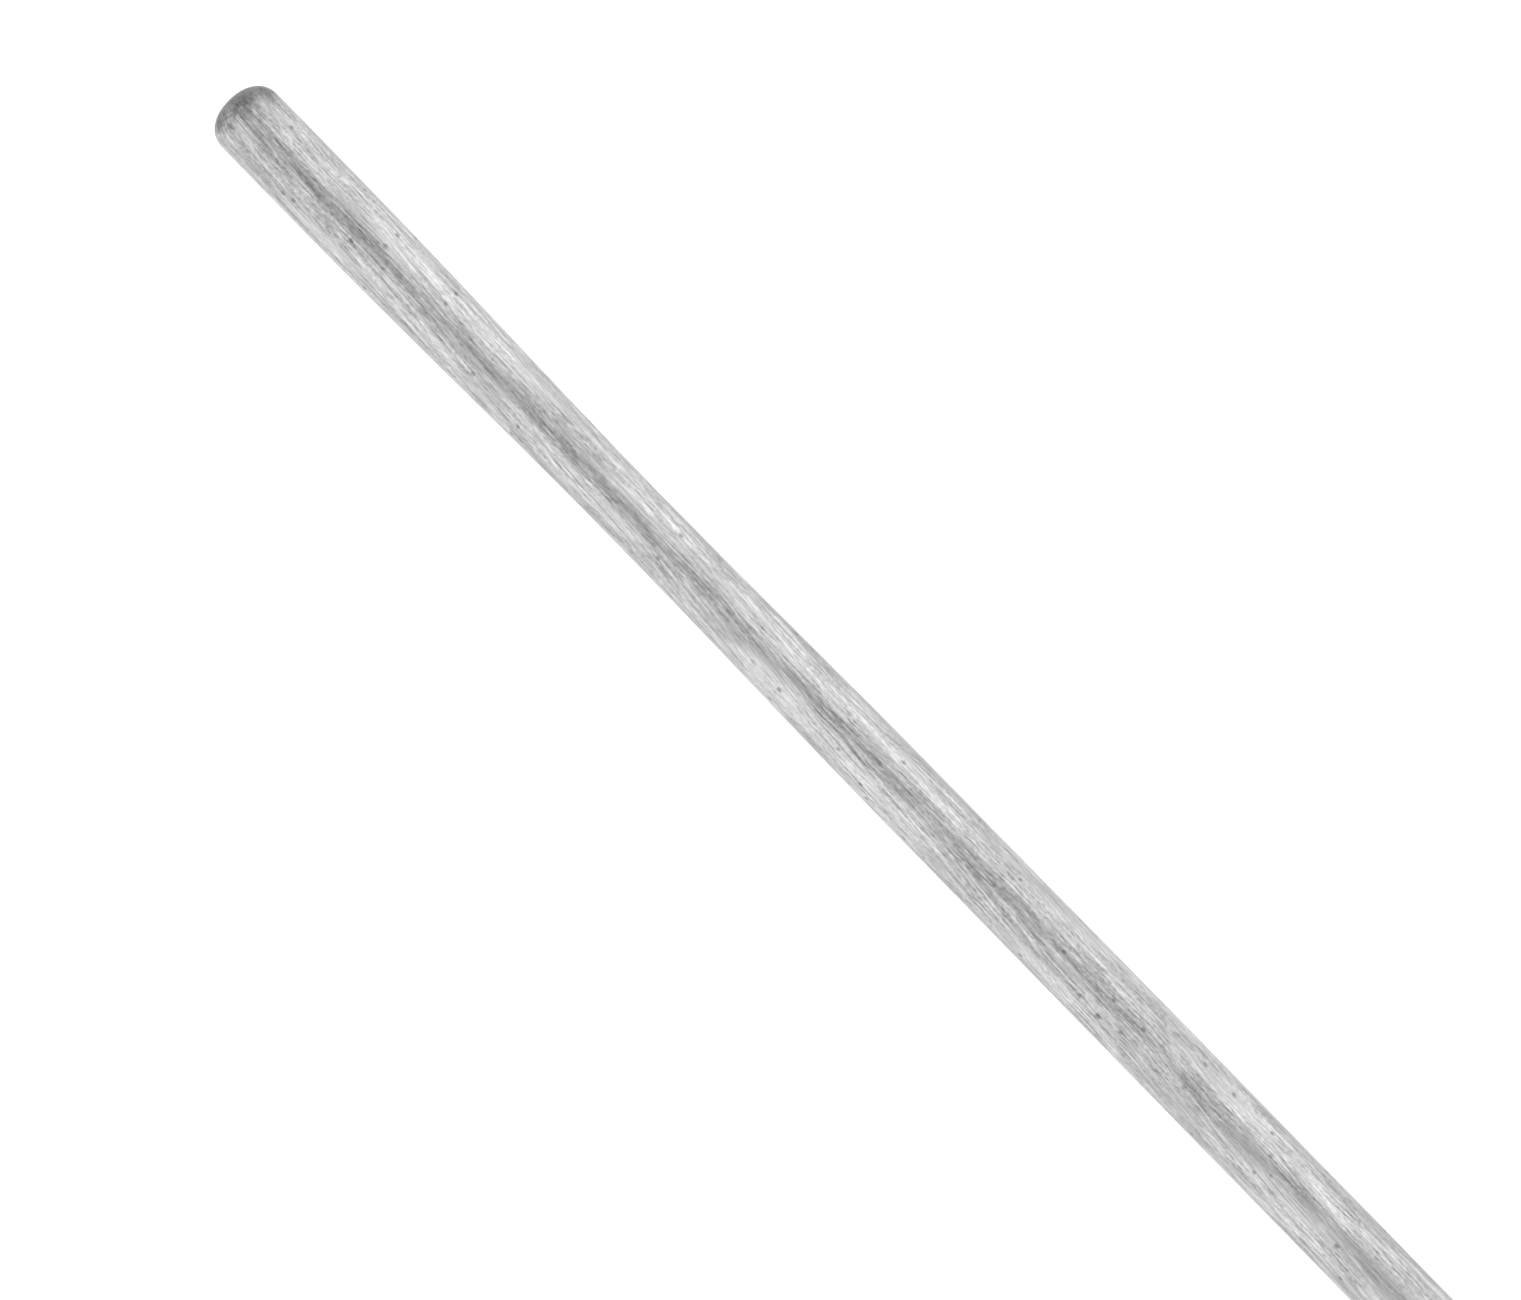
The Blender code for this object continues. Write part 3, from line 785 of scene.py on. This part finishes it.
def ferrule(node, tube_radius, inner_radius):
    start, end, flange = extent(node)
    bore = tube_radius + FIT
    thread = bore + FERRULE_WALL
    lip = inner_radius + FERRULE_LIP_GAP
    section = [
        (end, thread),
        (start + FERRULE_FLANGE, thread),
        (start + FERRULE_FLANGE, flange),
        (start + FERRULE_FLANGE / 2, flange),
        (start, bore + FIT),
        (start, bore),
        (end - FERRULE_LIP, bore),
        (end - FERRULE_LIP, lip),
        (end, lip),
    ]
    bm = spun(section, 120)
    soften(bm, sharp_edges(bm), 0.1 * MM)
    return bm


print("ferrule ready")

# %% [markdown]
# ## The collars
#
# A collar is a nut with twelve finger flutes, and its bore is a cone that squeezes the collet. A
# flute is what a ball-ended cutter leaves when it runs along the collar, so its depth at each point
# is the depth of that ball or of its shaft. The skin has many rows so that the flutes come out
# smooth, and a ring groove is sunk behind the tapered mouth.

# %% Model the collars
COLLET_FLANGE = 2 * MM
COLLET_STEP = 0.9 * MM
COLLET_TIP_WALL = 1.0 * MM
COLLAR_MOUTH = 2.5 * MM
MOUTH_GAP = 0.4 * MM
CHAMFER = 0.8 * MM
COLLAR_ROWS = 44
COLLAR_STEPS = 240
GROOVE_BACK = 1.9 * MM  # from the mouth's taper back to the middle of the ring groove
GROOVE_WIDTH = 0.7 * MM
GROOVE_DEPTH = 0.3 * MM
FLUTES = 12
FLUTE_RADIUS = 1.6 * MM
FLUTE_DEPTH = 0.6 * MM
FLUTE_TURN = math.radians(7.5)
FLUTE_END = 4 * MM  # from the mouth's taper back to the end of a flute


def flute_cut(point, radius, ends):
    """How deep the ball-ended cutter goes at a point of the collar."""
    centre = radius + FLUTE_RADIUS - FLUTE_DEPTH
    angle = math.atan2(point.y, AXIS.z - point.z) - FLUTE_TURN
    period = 2 * math.pi / FLUTES
    angle = (angle + period / 2) % period - period / 2
    past_end = max(0.0, ends[0] - point.x, point.x - ends[1])
    half = FLUTE_RADIUS**2 - (centre * math.sin(angle)) ** 2 - past_end**2
    if half <= 0:
        return 0.0
    return max(0.0, radius - (centre * math.cos(angle) - math.sqrt(half)))


def collar(node, collet_node, tube_radius, inner_radius):
    start, end, radius = extent(node)
    collet_start = extent(collet_node)[0]
    bore = tube_radius + FIT + FERRULE_WALL + RUN
    mouth = inner_radius + MOUTH_GAP
    root = bore - RUN - COLLET_STEP
    tip = inner_radius + FIT + COLLET_TIP_WALL
    cone_start = collet_start + COLLET_FLANGE + RUN
    cone_end = end - COLLAR_MOUTH
    skin_start = start + CHAMFER
    skin = []
    for row in range(COLLAR_ROWS + 1):
        x = skin_start + (cone_end - skin_start) * row / COLLAR_ROWS
        in_groove = abs(x - (cone_end - GROOVE_BACK)) < GROOVE_WIDTH / 2
        skin.append((x, radius - (GROOVE_DEPTH if in_groove else 0.0)))
    section = [
        (start, bore),
        (start, radius - CHAMFER),
        *skin,
        (end, mouth + CHAMFER),
        (end, mouth),
        (cone_end, mouth),
        (cone_end, tip + RUN),
        (cone_start, root + RUN),
        (cone_start, bore),
    ]
    bm = spun(section, COLLAR_STEPS)
    soften(bm, sharp_edges(bm), 0.12 * MM, segments=2)
    ends = (start - 2 * MM, cone_end - FLUTE_END - FLUTE_RADIUS)
    move_skin(bm, lambda x: bore + 0.3 * MM, lambda p: -flute_cut(p, radius, ends))
    return bm


print(f"collar ready, {FLUTES} flutes")

# %% [markdown]
# ## Two locks of two sizes
#
# The upper lock joins the top tube to the middle tube, and the lower one joins the middle tube to
# the bare tube. They are the same design made for other radii. A ferrule belongs to the wider tube's
# body, while its collar has a body of its own, because it turns.

# %% Add the ferrules and the collars
TOP_RADIUS = extent("top_tube")[2]
MIDDLE_RADIUS = extent("middle_tube")[2]
for number, body, tube_radius, inner_radius in (
    (1, "handle", TOP_RADIUS, MIDDLE_RADIUS),
    (2, "middle", MIDDLE_RADIUS, SHAFT_RADIUS),
):
    shoulder = ferrule(f"ferrule_{number}", tube_radius, inner_radius)
    add_piece(
        f"ferrule_{number}_moulding",
        shoulder,
        BLACK_PLASTIC,
        body,
        "black_plastic",
        f"ferrule_{number}",
    )
    nut = collar(f"collar_{number}", f"collet_{number}", tube_radius, inner_radius)
    add_piece(
        f"collar_{number}_moulding",
        nut,
        BLACK_PLASTIC,
        f"collar_{number}",
        "black_plastic",
        f"collar_{number}",
    )

# %% [markdown]
# ## The outline of the grip
#
# The grip is a moulded rubber sleeve, a little thicker at the top of the cane. Both its ends are
# rounded and have a band of shallow rings, and the stretch between them gets evenly spaced rows,
# because a pattern will be pressed into them. We list the points from the thick end to the thin.

# %% Draw the outline of the grip
GRIP_TOP_ROUNDING = 3 * MM
GRIP_LOW_ROUNDING = 1.2 * MM
CORNER_STEPS = 6
RIDGES = 4
RIDGE_PITCH = 2.6 * MM
RIDGE_DEPTH = 0.45 * MM
RIDGE_SHAPE = ((0.0, 0.0), (0.25, 1.0), (0.6, 1.0), (0.85, 0.0))  # shares of pitch and depth
RIDGES_FROM_END = 5 * MM
PATTERN_ROW = 1.25 * MM
PATTERN_MARGIN = 17 * MM


def corner(steps):
    """Angles from 0 to a right angle, for the points of a rounded corner."""
    return [math.pi / 2 * step / steps for step in range(steps + 1)]


def ridge_points(first, taper):
    """(x, radius) over a band of shallow rings that starts at x = first."""
    points = []
    for ridge in range(RIDGES):
        for share, depth in RIDGE_SHAPE:
            x = first + (ridge + share) * RIDGE_PITCH
            points.append((x, taper(x) - depth * RIDGE_DEPTH))
    return points


def grip_outline(start, end, thick, thin):
    """(x, radius) down the outside of the grip, from its thick end to its thin end."""

    def taper(x):
        return thick + (thin - thick) * (x - start) / (end - start)

    outline = []
    for turn in corner(CORNER_STEPS):
        x = start + GRIP_TOP_ROUNDING * (1 - math.cos(turn))
        outline.append((x, thick - GRIP_TOP_ROUNDING * (1 - math.sin(turn))))
    outline += ridge_points(start + RIDGES_FROM_END, taper)
    low, high = start + PATTERN_MARGIN, end - PATTERN_MARGIN
    rows = round((high - low) / PATTERN_ROW)
    for row in range(rows + 1):
        x = low + (high - low) * row / rows
        outline.append((x, taper(x)))
    outline += ridge_points(end - RIDGES_FROM_END - RIDGES * RIDGE_PITCH, taper)
    for turn in corner(CORNER_STEPS):
        x = end - GRIP_LOW_ROUNDING * (1 - math.sin(turn))
        outline.append((x, thin - GRIP_LOW_ROUNDING * (1 - math.cos(turn))))
    return outline


print("grip outline ready")

# %% [markdown]
# ## The grip
#
# The finger finds a flat along the grip, which also keeps the cane from rolling. We spin the
# outline, slice the flat off with `bisect_plane` and close the cut, then press a chequered pattern
# into the round part: every other face is inset and pushed in.

# %% Model the grip
GRIP_STEPS = 72
FLAT_LOW_DEPTH = 1.3 * MM  # how far the flat is cut into the grip's thin end
FLAT_MARGIN = 1.4 * MM  # height above the flat at which the chequers start
SLEEVE_WALL = 1.5 * MM  # faces nearer to the bore than this aren't on the outside
CHEQUER_EDGE = 0.2 * MM
CHEQUER_DEPTH = 0.32 * MM


def slice_flat(bm):
    """Cuts away what lies below the floor and closes the cut with one face."""
    flat = bmesh.ops.bisect_plane(
        bm,
        geom=bm.verts[:] + bm.edges[:] + bm.faces[:],
        plane_co=(0, 0, 0),
        plane_no=(0, 0, -1),
        clear_outer=True,
    )
    rim = [piece for piece in flat["geom_cut"] if isinstance(piece, bmesh.types.BMEdge)]
    bmesh.ops.contextual_create(bm, geom=rim)
    bmesh.ops.recalc_face_normals(bm, faces=bm.faces)


def chequers(bm, low, high, bore):
    """Every other face of the grip's outside between low and high."""
    rows = round((high - low) / PATTERN_ROW)
    found = []
    for face in bm.faces:
        middle = face.calc_center_median()
        if not low < middle.x < high or middle.z < FLAT_MARGIN or len(face.verts) != 4:
            continue
        if Vector((middle.y, middle.z - AXIS.z)).length < bore + SLEEVE_WALL:
            continue
        row = round((middle.x - low) / (high - low) * rows - 0.5)
        turn = math.atan2(middle.y, middle.z - AXIS.z) / (2 * math.pi) * GRIP_STEPS
        if (row + math.floor(turn)) % 2 == 0:
            found.append(face)
    return found


def grip():
    start, end, thick = extent("grip")
    bore = TOP_RADIUS + FIT
    outline = grip_outline(start, end, thick, AXIS.z + FLAT_LOW_DEPTH)
    bm = spun([(start, bore), *outline, (end, bore)], GRIP_STEPS)
    slice_flat(bm)
    pressed = chequers(bm, start + PATTERN_MARGIN, end - PATTERN_MARGIN, bore)
    bmesh.ops.inset_individual(
        bm, faces=pressed, thickness=CHEQUER_EDGE, depth=-CHEQUER_DEPTH, use_even_offset=True
    )
    print(f"{len(pressed)} chequers pressed into the grip")
    return bm


add_piece("rubber_grip", grip(), BLACK_RUBBER, "handle", "black_rubber", "grip")

# %% [markdown]
# ## The grip's trim ring
#
# A hard ring finishes the grip's thin end. It is a plain band with a taper down to the tube.

# %% Model the trim ring
def grip_ring():
    start, end, radius = extent("grip_ring")
    bore = TOP_RADIUS + FIT
    section = [
        (start, bore),
        (start, radius),
        ((start + end) / 2, radius),
        (end, bore + 1.2 * MM),
        (end, bore),
    ]
    bm = spun(section, 120)
    soften(bm, sharp_edges(bm, math.radians(20)), 0.3 * MM)
    return bm


add_piece(
    "grip_trim_ring", grip_ring(), BLACK_PLASTIC, "handle", "black_plastic", "grip_ring"
)

# %% [markdown]
# ## The end cap and its strap lug
#
# A moulded plug: a round flange that closes the tube, and a flat lug with a hole for the wrist
# strap. The flange and its spigot are turned. The lug starts as two circles bridged to make a flat
# ring. We slide the half of the outer circle that faces the flange back to it, and extrude. The two
# solids are joined by a Boolean, and the lug's edges and its foot are bevelled, as a mould's are.
# A bevel is only as wide as its shortest neighbouring edge allows, so the faces that meet are first
# made simple: the points along the lug's foot and the pole of the flange's face are dissolved.

# %% Model the end cap
CAP_FLANGE = 3.5 * MM
CAP_ROUNDING = 1.5 * MM
LUG_RADIUS = 6.5 * MM
LUG_LENGTH = 8 * MM  # from the middle of the strap hole to the flange
LUG_THICKNESS = 6 * MM
STRAP_HOLE_RADIUS = 3.5 * MM
PIN_HOLE_RADIUS = 1.75 * MM
HAIR = 0.01 * MM  # a length too small to matter, for comparisons


def lug(centre, root):
    """A flat tab with a round end and a hole, which reaches along X to root."""
    bm = bmesh.new()
    low = Matrix.Translation(centre - Vector((0, 0, LUG_THICKNESS / 2)))
    for radius in (LUG_RADIUS, STRAP_HOLE_RADIUS):
        bmesh.ops.create_circle(bm, cap_ends=False, segments=96, radius=radius, matrix=low)
    bmesh.ops.bridge_loops(bm, edges=bm.edges[:])
    for vert in bm.verts:
        from_centre = (vert.co.xy - centre.xy).length
        if from_centre > STRAP_HOLE_RADIUS + 1 * MM and vert.co.x > centre.x + HAIR:
            vert.co.x = root
    foot = [vert for vert in bm.verts if vert.co.x > root - HAIR]
    half = max(vert.co.y for vert in foot)
    between = [vert for vert in foot if abs(vert.co.y) < half - HAIR]
    bmesh.ops.dissolve_verts(bm, verts=between)
    extruded = bmesh.ops.extrude_face_region(bm, geom=bm.faces[:])
    top = [piece for piece in extruded["geom"] if isinstance(piece, bmesh.types.BMVert)]
    bmesh.ops.translate(bm, verts=top, vec=(0, 0, LUG_THICKNESS))
    bmesh.ops.recalc_face_normals(bm, faces=bm.faces)
    return bm


def end_cap():
    start, end, radius = extent("end_cap")
    flange_start = start + LUG_RADIUS + LUG_LENGTH
    flange_end = flange_start + CAP_FLANGE
    spigot = extent("buffer_pad")[2]
    outline = [(flange_start, 0.0)]
    for turn in corner(8):
        x = flange_start + CAP_ROUNDING * (1 - math.cos(turn))
        outline.append((x, radius - CAP_ROUNDING * (1 - math.sin(turn))))
    outline += [(flange_end, radius), (flange_end, spigot), (end, spigot), (end, 0.0)]
    cap = spun(outline, 96, closed=False)
    soften(cap, sharp_edges(cap), 0.25 * MM)
    pole_place = Vector((flange_start, 0.0, AXIS.z))
    poles = [vert for vert in cap.verts if (vert.co - pole_place).length < HAIR]
    bmesh.ops.dissolve_verts(cap, verts=poles)
    lug_centre = Vector((start + LUG_RADIUS, 0.0, AXIS.z))
    cap = boolean(cap, lug(lug_centre, flange_start + CAP_ROUNDING), "UNION")
    lug_edges = []
    for edge in sharp_edges(cap):
        if max(vert.co.x for vert in edge.verts) < flange_start + HAIR:
            lug_edges.append(edge)
    soften(cap, lug_edges, 0.6 * MM, segments=4)
    pin_low, pin_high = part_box("cap_pin")
    return drilled(cap, (pin_low.x + pin_high.x) / 2, PIN_HOLE_RADIUS)


add_piece("cap_moulding", end_cap(), BLACK_PLASTIC, "handle", "black_plastic", "end_cap")

# %% [markdown]
# ## The pieces that stay as they are
#
# The top tube, the collets, the plugs, the shims, the pin and the buffer have the right shapes in
# the working model, and are out of sight in use. They keep their shapes and get their finishes.

# %% Give the hidden pieces their finishes
carried_over = {
    "top_tube": WHITE_ENAMEL,
    "cap_pin": STEEL,
    "buffer_pad": BLACK_RUBBER,
}
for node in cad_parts:
    if node.startswith("collet_") or node.endswith("_plug") or "_shim_" in node:
        carried_over[node] = NYLON
for node, material in carried_over.items():
    for material_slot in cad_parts[node].material_slots:
        material_slot.material = material
print(f"{len(carried_over)} pieces carried over:", ", ".join(sorted(carried_over)))

# %% [markdown]
# ## The floor
#
# A wide pale disc, a little uneven in tone. It glows faintly, which does two things: it goes to
# plain white behind the cane, and it lights the tubes' flanks from below.

# %% Lay the floor
FLOOR_RADIUS = 30.0
FLOOR_GLOW = 0.27


def make_floor():
    finish = Finish("pale_floor", {"Roughness": 0.9, "Specular IOR Level": 0.2})
    cloud = finish.noise((0.8, 0.8, 0.8), detail=2.0)
    finish.feed(Base_Color=finish.blend(cloud, colour(0.90, 0.90, 0.90), colour(0.93, 0.93, 0.93)))
    finish.feed(Emission_Color=colour(1.0, 1.0, 1.0), Emission_Strength=FLOOR_GLOW)
    bm = bmesh.new()
    bmesh.ops.create_circle(bm, cap_ends=True, segments=64, radius=FLOOR_RADIUS)
    mesh = bpy.data.meshes.new("floor")
    bm.to_mesh(mesh)
    bm.free()
    mesh.materials.append(finish.material)
    floor = bpy.data.objects.new("floor", mesh)
    bpy.context.scene.collection.objects.link(floor)
    floor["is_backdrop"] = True


make_floor()
print(f"floor {2 * FLOOR_RADIUS:.0f} m across")

# %% [markdown]
# ## The lights
#
# Bare metal shows what surrounds it, so the light is most of its look. Two long softboxes run
# beside the cane, one on each side and well above it, and the grey sky shows between them. The top
# of the tube mirrors that gap, which draws the darker line along its middle. The far box is a
# little stronger, so one flank is brighter than the other.

# %% Hang the lights
SKY = 0.62
SOFTBOX_SIZE = (14.4, 7.44)
SOFTBOX_ASIDE = 4.44
SOFTBOX_UP = 3.06
LIT_POINT = Vector((0.3, 0.0, 0.0))


def softbox(name, aside, watts):
    """An area light that far to one side of the cane, square to the line to the lit point."""
    light = bpy.data.lights.new(name, "AREA")
    light.shape = "RECTANGLE"
    light.size, light.size_y = SOFTBOX_SIZE
    light.energy = watts
    box = bpy.data.objects.new(name, light)
    box.location = LIT_POINT + Vector((0.0, aside, SOFTBOX_UP))
    box.rotation_euler = (LIT_POINT - box.location).to_track_quat("-Z", "Y").to_euler()
    box.visible_camera = False
    bpy.context.scene.collection.objects.link(box)


world = bpy.data.worlds.new("sky")
world.use_nodes = True
world.node_tree.nodes["Background"].inputs["Color"].default_value = colour(SKY, SKY, SKY)
bpy.context.scene.world = world
softbox("softbox_far", -SOFTBOX_ASIDE, 284)
softbox("softbox_near", SOFTBOX_ASIDE, 227)
print("sky and two softboxes are in place")

# %% [markdown]
# ## The camera
#
# It looks straight down on the bare end of the cane, turned so that the tube runs from the upper
# left to the lower right and out of the frame. A long lens keeps the tube's sides nearly parallel.
# The Standard view transform shows the lit floor as plain white.

# %% Set the camera
CAMERA_BACK = 99.5 * MM  # from the nose tip back along the cane
CAMERA_ASIDE = 0.6 * MM
CAMERA_HEIGHT = 742.7 * MM  # above the axis
CAMERA_TURN = math.radians(-134.34)

camera_data = bpy.data.cameras.new("camera")
camera_data.lens = 135
camera_data.sensor_width = 36
camera_data.clip_end = 100
camera = bpy.data.objects.new("camera", camera_data)
camera.location = (TIP - CAMERA_BACK, CAMERA_ASIDE, AXIS.z + CAMERA_HEIGHT)
camera.rotation_euler = (0, 0, CAMERA_TURN)
bpy.context.scene.collection.objects.link(camera)
bpy.context.scene.camera = camera
bpy.context.scene.view_settings.view_transform = "Standard"
print("camera in place")

# %% [markdown]
# ## Close the scene
#
# The last cell prints the dressed cane's box and the working model's.

# %% Print the two boxes and finish
low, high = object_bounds()
sizes = {
    "cad": [list(cad_low), list(cad_high)],
    "visual": [list(low), list(high)],
}
for name, (first, last) in sizes.items():
    print(name, [round((b - a) / MM, 2) for a, b in zip(first, last)], "mm")
